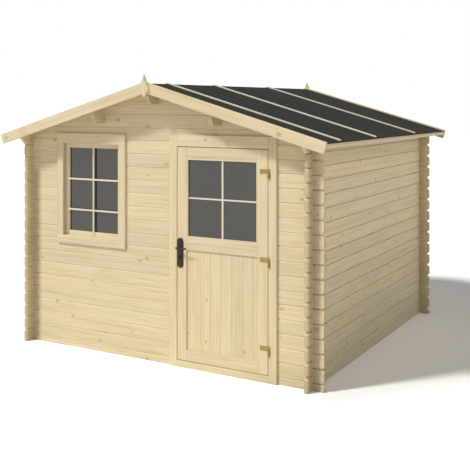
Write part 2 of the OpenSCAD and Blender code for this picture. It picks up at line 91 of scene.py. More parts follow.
class Shader:
    """The node tree of a material or of the world, with short calls for the nodes used here."""

    def __init__(self, name, world=None):
        self.material = world or bpy.data.materials.new(name)
        self.material.use_nodes = True
        self.nodes = self.material.node_tree.nodes
        self.links = self.material.node_tree.links
        self.nodes.clear()

    def node(self, kind, inputs=None, **settings):
        made = self.nodes.new(kind)
        for key, value in settings.items():
            setattr(made, key, value)
        for key, value in (inputs or {}).items():
            if isinstance(value, bpy.types.NodeSocket):
                self.links.new(value, made.inputs[key])
            else:
                made.inputs[key].default_value = value
        return made

    def math(self, operation, *values):
        return self.node("ShaderNodeMath", dict(enumerate(values)), operation=operation).outputs[0]

    def add(self, a, b):
        return self.math("ADD", a, b)

    def times(self, a, b):
        return self.math("MULTIPLY", a, b)

    def join(self, x, y, z):
        return self.node("ShaderNodeCombineXYZ", {0: x, 1: y, 2: z}).outputs[0]

    def split(self, vector):
        return self.node("ShaderNodeSeparateXYZ", {0: vector}).outputs

    def step(self, value, start, stop, to_start=0.0, to_stop=1.0):
        inputs = {"Value": value, "From Min": start, "From Max": stop, "To Min": to_start, "To Max": to_stop}
        return self.node("ShaderNodeMapRange", inputs, interpolation_type="SMOOTHSTEP").outputs[0]

    def noise(self, vector, scale=1.0, detail=2.0, roughness=0.5):
        inputs = {"Vector": vector, "Scale": scale, "Detail": detail, "Roughness": roughness}
        return self.node("ShaderNodeTexNoise", inputs).outputs[0]

    def mix(self, factor, a, b, blend="MIX"):
        made = self.node("ShaderNodeMix", data_type="RGBA", blend_type=blend)
        for socket, value in ((made.inputs[0], factor), (made.inputs[6], a), (made.inputs[7], b)):
            if isinstance(value, bpy.types.NodeSocket):
                self.links.new(value, socket)
            else:
                socket.default_value = value if socket.type != "RGBA" or len(value) == 4 else (*value, 1.0)
        return made.outputs[2]

    def attribute(self, name, output):
        return self.node("ShaderNodeAttribute", attribute_name=name).outputs[output]

    def seen(self):
        """1 for the rays of the camera, of gloss and through glass, and otherwise 0."""
        rays = self.node("ShaderNodeLightPath").outputs
        shiny = self.math("MAXIMUM", rays["Is Glossy Ray"], rays["Is Transmission Ray"])
        return self.math("MAXIMUM", rays["Is Camera Ray"], shiny)

    def place(self):
        return self.node("ShaderNodeTexCoord").outputs["Object"]

    def bump(self, height, distance, strength=1.0):
        inputs = {"Height": height, "Distance": distance, "Strength": strength}
        return self.node("ShaderNodeBump", inputs).outputs[0]

    def finish(self, **inputs):
        """Ends the tree in a Principled shader with these inputs, whose names have _ for a space."""
        named = {key.replace("_", " "): value for key, value in inputs.items()}
        for key, value in named.items():
            if isinstance(value, tuple) and len(value) == 3:
                named[key] = (*value, 1.0)
        shader = self.node("ShaderNodeBsdfPrincipled", named)
        self.node("ShaderNodeOutputMaterial", {"Surface": shader.outputs[0]})
        return self.material


def pine(name, pale=(0.750, 0.647, 0.438), streak=(0.600, 0.462, 0.266), knot_share=0.44):
    """Planed pine: rings round each timber's own heart, fibres, knots and a tone for each timber."""
    s = Shader(name)
    along, across, through = s.split(s.attribute("grain", "Vector"))

    def streaky(lengthwise, crosswise, detail):
        """Noise drawn out along the grain."""
        x, y, z = s.times(along, lengthwise), s.times(across, crosswise), s.times(through, crosswise)
        return s.noise(s.join(x, y, z), detail=detail)

    knot_cell = (0.34, 0.12)
    cells = s.join(s.times(along, 1 / knot_cell[0]), s.times(across, 1 / knot_cell[1]), 0.0)
    knots = s.node("ShaderNodeTexVoronoi", {"Vector": cells, "Scale": 1.0, "Randomness": 1.0},
                   voronoi_dimensions="2D", feature="F1")
    heart = s.split(knots.outputs["Position"])
    luck = s.split(knots.outputs["Color"])
    off_along = s.times(s.math("SUBTRACT", s.times(along, 1 / knot_cell[0]), heart[0]), knot_cell[0] * 0.75)
    off_across = s.times(s.math("SUBTRACT", s.times(across, 1 / knot_cell[1]), heart[1]), knot_cell[1])
    away = s.math("SQRT", s.add(s.times(off_along, off_along), s.times(off_across, off_across)))
    radius = s.step(luck[0], 1 - knot_share, 1.0, 0.0, 0.0120)
    near = s.math("DIVIDE", away, s.math("MAXIMUM", radius, 0.0004))
    knot = s.step(near, 1.12, 0.72)
    rim = s.times(s.step(near, 1.5, 1.05), s.step(near, 0.62, 0.9))
    halo = s.step(near, 2.9, 0.9)

    wander = streaky(0.7, 6.0, 2.0)
    distance = s.math("SQRT", s.add(s.times(across, across), s.times(through, through)))
    rings_at = s.add(distance, s.add(s.times(wander, 0.03), s.times(halo, 0.004)))
    ring_pitch = 0.0068
    phase = s.math("FRACT", s.times(rings_at, 1 / ring_pitch))
    late = s.times(s.math("POWER", phase, 2.2), s.step(phase, 1.0, 0.9))

    fibre = streaky(5.0, 420.0, 1.0)
    band = streaky(0.9, 38.0, 3.0)
    mottle = streaky(3.2, 70.0, 3.0)
    cloud = streaky(1.6, 5.0, 1.0)

    streaks = s.add(s.times(s.step(band, 0.46, 0.72), 0.32), s.times(s.step(mottle, 0.46, 0.68), 0.34))
    depth = s.add(s.times(late, 0.22), s.add(streaks, s.times(s.step(fibre, 0.5, 0.8), 0.10)))
    colour = s.mix(depth, pale, streak)
    palest = tuple(min(0.9, c * 1.09 + 0.02) for c in pale)
    colour = s.mix(s.times(s.step(band, 0.44, 0.28), 0.40), colour, palest)
    colour = s.mix(s.times(halo, 0.24), colour, (0.58, 0.41, 0.22))
    colour = s.mix(s.times(rim, 0.22), colour, (0.42, 0.27, 0.14))
    colour = s.mix(s.times(knot, 0.62), colour, (0.45, 0.315, 0.18))
    # The tone is each timber's own, less the painted shade given to the lowest logs of the side walls.
    pinkish = s.step(s.attribute("tone", "Fac"), -0.2, 1.0)
    colour = s.mix(s.times(pinkish, 0.22), colour, (0.99, 0.92, 0.85), blend="MULTIPLY")
    bright = s.add(s.add(0.93, s.times(s.attribute("tone", "Fac"), 0.045)), s.times(cloud, 0.12))
    colour = s.mix(1.0, colour, s.join(bright, bright, bright), blend="MULTIPLY")
    colour = s.mix(s.times(s.attribute("end", "Fac"), 0.75), colour, (0.57, 0.435, 0.268))
    # Painted shade darkens the free ends of the logs beside the corner where they cross.
    x, y, z = s.split(s.place())
    past = [s.math("SUBTRACT", s.math("ABSOLUTE", at), wall) for at, wall in ((x, SIDE_X), (y, BACK_Y))]
    painted_corner_shade = s.times(*(s.step(s.math("ABSOLUTE", distance), 0.105, 0.01) for distance in past))
    painted_corner_shade = s.times(painted_corner_shade, s.step(s.math("MAXIMUM", *past), 0.001, 0.003))
    # A painted shadow darkens the strip of the front wall beside the left corner too, where the log ends cast
    # their shadow; less so under the eaves.
    inside = s.add(x, ROOM_X)
    strip = s.times(s.step(inside, 0.110, 0.077), s.step(inside, 0.001, 0.002))
    strip = s.times(strip, s.step(z, 1.50, 1.62, 1.0, 0.25))
    strip = s.times(strip, s.step(y, FRONT_Y + 0.012, FRONT_Y + 0.008))
    painted_corner_shade = s.math("MAXIMUM", painted_corner_shade, strip)
    # The painted shade and shadow multiply the wood's colour.
    colour = s.mix(painted_corner_shade, colour, (0.755, 0.735, 0.71), blend="MULTIPLY")
    height = s.add(s.times(late, -0.35), s.add(s.times(fibre, 0.25), s.times(knot, -0.5)))
    return s.finish(Base_Color=colour, Roughness=0.62, Specular_IOR_Level=0.3,
                    Normal=s.bump(height, 0.0006, 0.6))


def felt_material():
    """Mineral-grained bitumen felt, whose strips differ a little in shade."""
    s = Shader("felt")
    place = s.place()
    grit = s.noise(place, scale=900.0, detail=2.0, roughness=0.7)
    patch = s.noise(place, scale=2.6, detail=4.0, roughness=0.6)
    tone = s.attribute("tone", "Fac")
    colour = s.mix(s.step(tone, -1.0, 1.0), (0.030, 0.031, 0.029), (0.035, 0.030, 0.024))
    colour = s.mix(s.step(grit, 0.35, 0.75), colour, (0.055, 0.054, 0.049))
    colour = s.mix(s.times(s.step(patch, 0.4, 0.7), 0.35), colour, (0.025, 0.025, 0.023))
    return s.finish(Base_Color=colour, Roughness=0.95, Specular_IOR_Level=0.04,
                    Normal=s.bump(s.add(grit, s.times(patch, 0.5)), 0.0012, 0.7))


def glass_material():
    """Float glass in front of a dim room, darkened so that it reads the same from both sides."""
    s = Shader("glass")
    place = s.place()
    haze = s.noise(place, scale=1.4, detail=2.0)
    colour = s.mix(haze, (0.023, 0.020, 0.008), (0.035, 0.030, 0.015))
    return s.finish(Base_Color=colour, Roughness=0.02, IOR=1.79, Alpha=0.97)


def brass_material():
    s = Shader("brass")
    place = s.place()
    smudge = s.noise(place, scale=45.0, detail=3.0)
    colour = s.mix(s.step(smudge, 0.35, 0.7), (0.43, 0.29, 0.085), (0.305, 0.207, 0.065))
    return s.finish(Base_Color=colour, Metallic=0.85, Roughness=0.38,
                    Normal=s.bump(s.noise(place, scale=300.0), 0.0003, 0.3))


def iron_material():
    s = Shader("iron")
    place = s.place()
    dimple = s.noise(place, scale=130.0, detail=2.0)
    colour = s.mix(dimple, (0.019, 0.017, 0.0125), (0.038, 0.034, 0.026))
    return s.finish(Base_Color=colour, Roughness=0.5, Specular_IOR_Level=0.25,
                    Normal=s.bump(dimple, 0.0008, 0.5))


# The keyhole's near-black colour is painted shade for the inside of the hole.
def painted_keyhole_shade_material():
    s = Shader("keyhole")
    colour = s.mix(s.noise(s.place(), scale=400.0), (0.002, 0.002, 0.002), (0.008, 0.008, 0.007))
    return s.finish(Base_Color=colour, Roughness=0.9, Specular_IOR_Level=0.03)


PINE = pine("pine")
PALE_PINE = pine("pine_of_the_bars", (0.79, 0.73, 0.60), (0.70, 0.60, 0.44), 0.0)
# Pine without knots, and painted lighter: painted light for parts that lie in shade, such as the eaves
# battens and the head and sill of the window's lining; the sash takes it too.
CLEAR_PINE_PAINTED_LIGHTER = pine("pine_without_knots_painted_lighter", (0.79, 0.70, 0.50), (0.69, 0.55, 0.34), 0.0)
BOARD_PINE = pine("pine_with_few_knots", knot_share=0.05)
# A darker copy of the pine: painted shade for the purlins under the roof.
PAINTED_SHADE_PINE = pine("pine_of_the_purlins_in_painted_shade", (0.64, 0.54, 0.36), (0.53, 0.40, 0.23), 0.1)
# A darker copy again: painted shade for the sides of the window's lining.
PAINTED_SHADE_LINING_PINE = pine("pine_of_the_lining_in_painted_shade", (0.55, 0.46, 0.29), (0.45, 0.34, 0.18), 0.1)
FELT = felt_material()
GLASS = glass_material()
BRASS = brass_material()
IRON = iron_material()
KEYHOLE_PAINTED_SHADE = painted_keyhole_shade_material()

# ------------------------ building timbers


class Timber:
    """Closed timbers in one mesh. Each point knows its place along, across and through its own timber."""

    def __init__(self, name):
        self.name = name
        self.points, self.faces, self.grain, self.tones, self.ends = [], [], [], [], []
        self.draw = random.Random(name)

    def loft(self, rings, along, across, tone=None):
        """Adds one timber through rings of points, all of one count, from its one end to its other."""
        along, across = Vector(along).normalized(), Vector(across).normalized()
        through = along.cross(across)
        corners = [p for ring in rings for p in ring]
        middle = sum(corners, Vector()) / len(corners)
        draw = self.draw.uniform
        start = Vector((draw(0, 40), draw(-0.05, 0.05), draw(0.03, 0.11)))
        tone = draw(-1, 1) if tone is None else tone
        index, numbers = {}, []
        for p in corners:
            key = tuple(round(c, 6) for c in p)
            if key not in index:
                index[key] = len(self.points)
                self.points.append(p)
                d = p - middle
                self.grain.append((p.dot(along) + start.x, d.dot(across) + start.y, d.dot(through) + start.z))
                self.tones.append(tone)
            numbers.append(index[key])
        n = len(rings[0])
        last = (len(rings) - 1) * n
        sides = [(r + i, r + (i + 1) % n, r + n + (i + 1) % n, r + n + i)
                 for r in range(0, last, n) for i in range(n)]
        for shape in [tuple(range(n)), tuple(range(last, last + n))] + sides:
            face = list(dict.fromkeys(numbers[i] for i in shape))
            if len(face) < 3:
                continue
            a, b, c = (self.points[i] for i in (face[0], face[1], face[-1]))
            normal = (b - a).cross(c - a)
            if normal.length < 1e-10:
                continue
            self.faces.append(face)
            self.ends.append(1.0 if abs(normal.normalized().dot(along)) > 0.75 else 0.0)

    def prism(self, outline, axis, ends, across, tone=None):
        """Adds a timber of one outline between two ends along x, y or z.

        The outline's points give their places on the other two axes, in the order of the alphabet.
        """
        at = "xyz".index(axis)

        def place(end, u, v):
            values = [u, v]
            values.insert(at, end)
            return Vector(values)

        self.loft([[place(end, u, v) for u, v in outline] for end in ends], place(1, 0, 0), across, tone)

    def board(self, lo, hi, along="x", tone=None):
        """Adds a plain board between two corners, with its grain along x, y or z."""
        a = "xyz".index(along)
        b, c = (axis for axis in range(3) if axis != a)
        wide = c if hi[b] - lo[b] < hi[c] - lo[c] else b
        outline = [(lo[b], lo[c]), (hi[b], lo[c]), (hi[b], hi[c]), (lo[b], hi[c])]
        across = [float(axis == wide) for axis in range(3)]
        self.prism(outline, along, (lo[a], hi[a]), across, tone)

    def build(self, body, *nodes, slot="pine", material=None, bevel=0.0012):
        """Makes the piece, which rides on the body and stands for these nodes."""
        mesh = bpy.data.meshes.new(self.name)
        mesh.from_pydata(self.points, [], self.faces)
        for name, kind, domain, key, values in (
                ("grain", "FLOAT_VECTOR", "POINT", "vector", [c for g in self.grain for c in g]),
                ("tone", "FLOAT", "POINT", "value", self.tones),
                ("end", "FLOAT", "FACE", "value", self.ends)):
            mesh.attributes.new(name, kind, domain).data.foreach_set(key, values)
        outward = bmesh.new()
        outward.from_mesh(mesh)
        bmesh.ops.recalc_face_normals(outward, faces=outward.faces)
        outward.to_mesh(mesh)
        outward.free()
        piece = bpy.data.objects.new(self.name, mesh)
        if bevel:
            soften(piece, bevel)
        dress(piece, material or PINE, body, nodes)


def soften(piece, width, angle=25):
    """Rounds the sharp edges of a piece."""
    made = piece.modifiers.new("soft_edges", "BEVEL")
    made.width = width
    made.segments = 2
    made.limit_method = "ANGLE"
    made.angle_limit = math.radians(angle)


def dress(piece, material, body, replaced=()):
    """Puts a new piece into the scene: its material and body, and the nodes that it stands for."""
    bpy.context.scene.collection.objects.link(piece)
    piece.data.materials.append(material)
    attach(piece, body)
    if replaced:
        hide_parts(*replaced)


# ------------------------ log walls


def hew(timber, place, faces, breaks, section, wall, gaps, shade=0.0):
    """Adds one log, or its runs where it is cut through.

    place(a, o, z) turns a distance along the log, one across it and a height into a point. section(a)
    gives its lowest and highest point there and whether each has a groove; it may jump at a break.
    gaps are the heights of the slot at the bottom of a groove, where two logs don't quite close: in the
    wall, and at the free ends, which begin at the distance wall from the middle. shade makes the log
    darker through its tone: painted shade.
    """
    outer, inner = faces
    along = place(1, 0, 0) - place(0, 0, 0)
    inward = 1 if inner > outer else -1

    def ring(a, part):
        z0, z1, groove0, groove1 = part
        gap = gaps[abs(a) > wall - TINY]
        h0, h1 = (GROOVE_H / 2 if g and z1 - z0 > GROOVE_H else 0.0 for g in (groove0, groove1))
        d0, d1 = (GROOVE_D * inward if h else 0.0 for h in (h0, h1))
        slot0, slot1 = (SLOT_D * inward if h and gap else 0.0 for h in (h0, h1))
        g0, g1 = (gap / 2 if h else 0.0 for h in (h0, h1))
        low0, low1 = outer + d0, outer + d1
        profile = [(low0 + slot0, z0), (low0 + slot0, z0 + g0), (low0, z0 + g0), (outer, z0 + h0),
                   (outer, z1 - h1), (low1, z1 - g1), (low1 + slot1, z1 - g1), (low1 + slot1, z1),
                   (inner - d1, z1), (inner, z1 - h1), (inner, z0 + h0), (inner - d0, z0)]
        return [place(a, o, z) for o, z in profile]

    runs = [[]]
    for a, b in zip(breaks, breaks[1:]):
        first, second = section(a + TINY), section(b - TINY)
        if b - a < 1e-5 or max(first[1] - first[0], second[1] - second[0]) < 0.002:
            if runs[-1]:
                runs.append([])
            continue
        runs[-1] += [ring(a, first), ring(b, second)]
    # The painted shade is taken off the log's tone.
    tone = timber.draw.uniform(-1, 1) - shade
    for run in filter(None, runs):
        timber.loft(run, along, (0, 0, 1), tone)


def cross_log(timber, faces, ends, z0, z1, holes=(), sunk=()):
    """A log of the front or back wall, with its crossings, its free ends and the roof over it.

    faces are the depths of its outer and inner face, and ends are the distances of its left and right end
    from the middle. holes are stretches along it that are cut out, and sunk are (from, to, height) of
    slots from above.
    """
    middle = round((z0 + z1) / 2 / COURSE) * COURSE
    breaks = {0.0}
    for side, end in zip((-1, 1), ends):
        tops = [x for z in (z0, z1) for x in ((RIDGE_Z - z) / math.tan(SLOPE),) if 0 < x < end]
        breaks |= {side * x for x in [end, end - NOTCH_D, SIDE_X, ROOM_X] + tops}
    breaks |= {x for hole in holes for x in hole[:2]} | {x for slot in sunk for x in slot[:2]}

    def section(x):
        if any(a < x < b for a, b in holes):
            return z0, z0, False, False
        if ROOM_X < abs(x) < SIDE_X:
            top = min(middle + COURSE / 4, roof_z(x))
            return max(middle - COURSE / 4, z0), top, False, False
        bottom, top = z0, min(z1, roof_z(x))
        out = max(0.0, (abs(x) - ends[x > 0] + NOTCH_D) / NOTCH_D) * NOTCH_H / 2
        bottom += out if z0 > 0 else 0.0
        top = min(top, z1 - out)
        for a, b, height in sunk:
            if a < x < b:
                top = min(top, height)
        return bottom, max(top, bottom), z0 > 0, abs(top - z1) < TINY or 0 < out and top < roof_z(x) - TINY

    hew(timber, lambda a, o, z: Vector((a, o, z)), faces, sorted(breaks), section, SIDE_X, (0.0, 0.0032))


def cross_courses(top):
    """Lowest and highest points of the front and back logs: half a log and then whole ones."""
    edges = [0.0, HALF_COURSE]
    while edges[-1] < top - COURSE:
        edges.append(edges[-1] + COURSE)
    return list(zip(edges, edges[1:] + [top]))


def purlins():
    """The left side, the right side and the underside of each purlin."""
    ridge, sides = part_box("ridge_purlin"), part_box("side_purlins")
    width = ridge[1].x - ridge[0].x
    depth = RIDGE_Z - ridge[0].z
    lefts = (sides[0].x, ridge[0].x, sides[1].x - width)
    return [(x, x + width, roof_z(x + width / 2) - depth) for x in lefts]


def make_front_wall():
    timber = Timber("front_logs")
    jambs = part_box("door_jambs")
    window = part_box("window_frame_sides")
    for z0, z1 in cross_courses(RIDGE_Z):
        holes = []
        if z0 > 0 and z1 < LINTEL_Z + TINY:
            holes.append((jambs[0].x, jambs[1].x))
            if z0 > window[0].z - HALF_COURSE:
                holes.append((window[0].x, window[1].x))
        cross_log(timber, (FRONT_Y, FRONT_ROOM_Y), FRONT_ENDS, z0, z1, holes, purlins())
    nodes = ("front_sill_log", "front_wall_left", "front_wall_right", "front_wall_gable")
    timber.build("shed", *nodes)


def make_back_wall():
    timber = Timber("back_logs")
    for z0, z1 in cross_courses(RIDGE_Z):
        cross_log(timber, (BACK_Y, BACK_ROOM_Y), BACK_ENDS, z0, z1, (), purlins())
    timber.build("shed", "back_wall")


def side_log(timber, side, z0):
    """A whole log of a side wall."""
    def section(y):
        for wall in (FRONT_Y, BACK_ROOM_Y):
            if wall < y < wall + FRONT_ROOM_Y - FRONT_Y:
                return z0 + COURSE / 4, z0 + 3 * COURSE / 4, False, False
        out = max(0.0, (abs(y) - LOG_END_Y + NOTCH_D) / NOTCH_D) * NOTCH_H / 2
        return z0 + (out if z0 > 0 else 0.0), z0 + COURSE - out, z0 > 0, True

    breaks = [s * y for y in (LOG_END_Y, LOG_END_Y - NOTCH_D, BACK_Y, BACK_ROOM_Y) for s in (-1, 1)]
    # The lowest logs of the side walls get painted shade, darker towards the ground: the last argument.
    hew(timber, lambda a, o, z: Vector((o, a, z)), (side * SIDE_X, side * ROOM_X), sorted(breaks), section,
        BACK_Y, (0.003, 0.004), max(0.0, 2.4 - 8 * z0))


def make_side_wall(name, side):
    timber = Timber(name + "_logs")
    for k in range(round(EAVES_LOG_Z / COURSE)):
        side_log(timber, side, k * COURSE)
    timber.build("shed", name + "_wall")


def make_eaves_logs():
    """The top logs of the side walls: bevelled to the roof, and running out to the bargeboards."""
    timber = Timber("top_logs")
    nose = 0.074
    z0 = EAVES_LOG_Z
    thickness = FRONT_ROOM_Y - FRONT_Y
    breaks = [ROOF_FRONT_Y, ROOF_FRONT_Y + nose, FRONT_Y, FRONT_Y + thickness,
              BACK_ROOM_Y, BACK_ROOM_Y + thickness, ROOF_BACK_Y - nose, ROOF_BACK_Y]
    for side in (-1, 1):
        rings = []
        for a, b in zip(breaks, breaks[1:]):
            for y, inside in ((a, a + TINY), (b, b - TINY)):
                crossing = FRONT_Y < inside < FRONT_Y + thickness or BACK_ROOM_Y < inside < BACK_Y
                cut = max(0.0, ROOF_FRONT_Y + nose - y, y - ROOF_BACK_Y + nose)
                bottom = z0 + (COURSE / 4 if crossing else cut)
                groove = 0.0 if crossing or cut else GROOVE_H / 2
                depth = GROOVE_D if groove else 0.0
                profile = [(SIDE_X - depth, bottom), (SIDE_X, bottom + groove), (SIDE_X, roof_z(SIDE_X)),
                           (ROOM_X, roof_z(ROOM_X)), (ROOM_X, bottom + groove), (ROOM_X + depth, bottom)]
                rings.append([Vector((side * x, y, z)) for x, z in profile])
        timber.loft(rings, (0, 1, 0), (0, 0, 1))
    timber.build("shed", "eaves_logs")


# ------------------------ floor


def make_floor():
    bearers = Timber("bearers")
    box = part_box("floor_bearers")
    size = box[1].z - box[0].z
    count = 5
    for i in range(count):
        y = box[0].y + (box[1].y - box[0].y - size) * i / (count - 1)
        bearers.board((box[0].x, y, box[0].z), (box[1].x, y + size, box[1].z), "x")
    bearers.build("shed", "floor_bearers")

    planks = Timber("floor_planks")
    lo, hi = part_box("floor_boards")
    count = 29
    width = (hi.x - lo.x) / count
    groove = 0.002
    for i in range(count):
        x0, x1 = lo.x + i * width, lo.x + (i + 1) * width
        ring = [(x0, lo.z), (x1, lo.z), (x1, hi.z - groove), (x1 - groove, hi.z),
                (x0 + groove, hi.z), (x0, hi.z - groove)]
        planks.prism(ring, "y", (lo.y, hi.y), (1, 0, 0))
    planks.build("shed", "floor_boards", bevel=0)


# ------------------------ roof


def on_slope(side, s, n, y):
    """Point s down the slope from the ridge and n square to the boards' underside."""
    x = s * math.cos(SLOPE) + n * math.sin(SLOPE)
    return Vector((side * x, y, RIDGE_Z - s * math.sin(SLOPE) + n * math.cos(SLOPE)))


BOARD_T = 0.018
FELT_T = 0.003
FELT_TOP = BOARD_T + FELT_T
BARGE_H = 0.090
BARGE_RISE = 0.012  # of a bargeboard's top edge over the felt
BARGE_TOP = FELT_TOP + BARGE_RISE * math.cos(SLOPE)
EAVES_OVERHANG = 0.184
SLOPE_L = (SIDE_X + EAVES_OVERHANG) / math.cos(SLOPE)  # from the ridge to the eaves
SIDES = (("left", -1), ("right", 1))
DOWN_SLOPE = {side: on_slope(side, 1, 0, 0) - on_slope(side, 0, 0, 0) for _, side in SIDES}


def slope_ring(side, s, profile):
    """Ring of points across a board at s down the slope; at the ridge, s is None and the ring is mitred."""
    return [on_slope(side, -n * math.tan(SLOPE) if s is None else s, n, y) for y, n in profile]


def slope_board(timber, side, profile, stop=SLOPE_L, across=(0, 1, 0)):
    """Adds a board that runs down the slope from the ridge."""
    timber.loft([slope_ring(side, s, profile) for s in (None, stop)], DOWN_SLOPE[side], across)


def make_roof_boards():
    """Tongued and grooved boards, seen from below and at the eaves."""
    count = 34
    width = (ROOF_BACK_Y - ROOF_FRONT_Y) / count
    groove = 0.004
    for name, side in SIDES:
        timber = Timber("roof_planks_" + name)
        for i in range(count):
            y0 = ROOF_FRONT_Y + i * width
            y1 = y0 + width
            profile = [(y0 + groove, 0), (y0, groove), (y0, BOARD_T),
                       (y1, BOARD_T), (y1, groove), (y1 - groove, 0)]
            slope_board(timber, side, profile)
        timber.build("shed", "roof_boards_" + name, bevel=0)


def felt_batten_ys():
    """Where the battens on the felt begin, and their width."""
    lo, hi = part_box("roof_battens_left")
    width = 0.028
    middle = FRONT_Y + 0.963
    return [lo.y, middle - width / 2, hi.y - width], width


def make_felt():
    """Strips of felt that meet under the battens, with a little unevenness."""
    starts, width = felt_batten_ys()
    seams = [ROOF_FRONT_Y] + [y + width / 2 for y in starts] + [ROOF_BACK_Y]
    shades = (0.9, -0.5, -0.9, -0.1)
    across, down = 14, 22  # faces of a strip
    swell = 0.0006
    for name, side in SIDES:
        timber = Timber("felt_" + name)
        for (y0, y1), shade in zip(zip(seams, seams[1:]), shades):
            ys = [y0 + (y1 - y0) * j / across for j in range(across + 1)]
            rings = []
            for i in range(down + 1):
                s = None if i == 0 else SLOPE_L * i / down
                wave = [swell * math.sin(9 * y + 2.3 * i) * math.sin(0.8 * i + 31 * y) for y in ys]
                top = [(y, FELT_TOP - swell + w) for y, w in zip(ys, wave)]
                rings.append(slope_ring(side, s, [(y, BOARD_T) for y in ys] + top[::-1]))
            timber.loft(rings, DOWN_SLOPE[side], (0, 1, 0), shade)
        timber.build("shed", "roof_felt_" + name, slot="roof_felt", material=FELT, bevel=0)


def make_felt_battens():
    starts, width = felt_batten_ys()
    stop = SLOPE_L - 0.028  # short of the eaves
    thickness = 0.011
    top = FELT_TOP + thickness
    for name, side in SIDES:
        timber = Timber("felt_battens_" + name)
        for y in starts:
            profile = [(y, FELT_TOP), (y, top), (y + width, top), (y + width, FELT_TOP)]
            slope_board(timber, side, profile, stop)
        timber.build("shed", "roof_battens_" + name, material=PALE_PINE, bevel=0.002)


def make_bargeboards():
    for end in ("front", "rear"):
        for name, side in SIDES:
            node = f"{end}_bargeboard_{name}"
            y0, y1 = low(node).y, high(node).y
            timber = Timber(f"{end}_barge_{name}")
            profile = [(y0, BARGE_TOP - BARGE_H), (y1, BARGE_TOP - BARGE_H), (y1, BARGE_TOP), (y0, BARGE_TOP)]
            across = on_slope(side, 0, 1, 0) - on_slope(side, 0, 0, 0)
            slope_board(timber, side, profile, across=across)
            timber.build("shed", node, bevel=0.002)


def make_eaves_battens():
    setback, width = 0.006, 0.045
    stop = SLOPE_L - setback
    start = stop - width
    bottom, top = -0.018, -0.0001
    corners = ((start, bottom), (stop, bottom), (stop, top), (start, top))
    for name, side in SIDES:
        timber = Timber("eaves_strip_" + name)
        rings = [[on_slope(side, s, n, y) for s, n in corners] for y in (ROOF_FRONT_Y, ROOF_BACK_Y)]
        timber.loft(rings, (0, 1, 0), DOWN_SLOPE[side])
        # The eaves battens take the lighter pine, painted light under the eaves.
        timber.build("shed", "eaves_batten_" + name, material=CLEAR_PINE_PAINTED_LIGHTER)


def make_finials():
    """Lozenge boards that cover the joints of the bargeboards."""
    timber = Timber("finial_boards")
    lo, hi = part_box("finials")
    half = hi.x
    waist, blunt = lo.z + 0.077, 0.006
    thickness = 0.018
    outline = [(0, lo.z), (half, waist - blunt), (half, waist + blunt),
               (0, hi.z), (-half, waist + blunt), (-half, waist - blunt)]
    for y in (lo.y, hi.y - thickness):
        timber.prism(outline, "y", (y, y + thickness), (1, 0, 0), 0.0)
    # The grain runs up the board, so the points' places along and through it change round.
    timber.grain = [(w + 3.0, v, u - 1.0) for u, v, w in timber.grain]
    timber.ends = [0.0] * len(timber.ends)
    timber.build("shed", "finials", bevel=0.0015)


def make_purlins():
    """Ridge and side purlins, with a sloping cut under each nose."""
    nose, rise = 0.038, 0.070
    timber = Timber("purlins")
    gap = 0.0001
    for x0, x1, bottom in purlins():
        xs = [x0, 0.0, x1] if x0 < 0 < x1 else [x0, (x0 + x1) / 2, x1]
        rings = []
        for y, cut in ((ROOF_FRONT_Y, rise), (ROOF_FRONT_Y + nose, 0),
                       (ROOF_BACK_Y - nose, 0), (ROOF_BACK_Y, rise)):
            top = [Vector((x, y, roof_z(x) - gap)) for x in xs[::-1]]
            rings.append([Vector((x0, y, bottom + cut)), Vector((x1, y, bottom + cut))] + top)
        timber.loft(rings, (0, 1, 0), (0, 0, 1))
    # The purlins take the darker pine, painted shade under the roof.
    timber.build("shed", "ridge_purlin", "side_purlins", material=PAINTED_SHADE_PINE, bevel=0.0015)


# ------------------------ openings

DOOR_GAP = 0.005  # above and below the door leaf


def uprights(timber, outer, inner):
    """Adds the two boards that stand in one box, left and right of another."""
    for x0, x1 in ((outer[0].x, inner[0].x), (inner[1].x, outer[1].x)):
        timber.board((x0, outer[0].y, outer[0].z), (x1, outer[1].y, outer[1].z), "z")


def levels(timber, box, *spans):
    """Adds boards across a box, one between each two heights."""
    for z0, z1 in spans:
        timber.board((box[0].x, box[0].y, z0), (box[1].x, box[1].y, z1), "x")


def make_door_frame():
    timber = Timber("door_frame")
    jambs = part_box("door_jambs")
    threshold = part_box("door_threshold")
    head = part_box("door_head")
    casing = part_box("door_casing_ends")
    top_z = high("door_stiles").z + DOOR_GAP
    stop_y = threshold[0].y
    for outer, face, stop in zip(*[(box[0].x, box[1].x) for box in (jambs, casing, threshold)]):
        corners = [(outer, jambs[0].y), (face, jambs[0].y), (face, stop_y),
                   (stop, stop_y), (stop, jambs[1].y), (outer, jambs[1].y)]
        timber.prism(corners, "z", (jambs[0].z, jambs[1].z), (0, 1, 0))
    stop_z = head[0].z
    corners = [(head[0].y, head[1].z), (head[0].y, top_z), (stop_y, top_z), (stop_y, stop_z),
               (head[1].y, stop_z), (head[1].y, head[1].z)]
    timber.prism(corners, "x", (threshold[0].x, threshold[1].x), (0, 1, 0))
    for x0, x1 in ((head[0].x, threshold[0].x), (threshold[1].x, head[1].x)):
        timber.board((x0, head[0].y, top_z), (x1, head[1].y, head[1].z), "x")
    timber.board(*threshold, "x")
    timber.build("shed", "door_jambs", "door_head", "door_threshold")


def make_door_casing():
    timber = Timber("door_casing")
    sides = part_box("door_casing_sides")
    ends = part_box("door_casing_ends")
    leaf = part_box("door_stiles")
    uprights(timber, sides, ends)
    levels(timber, ends, (ends[0].z, leaf[0].z - DOOR_GAP), (leaf[1].z + DOOR_GAP, ends[1].z))
    timber.build("shed", "door_casing_sides", "door_casing_ends", material=BOARD_PINE, bevel=0.002)


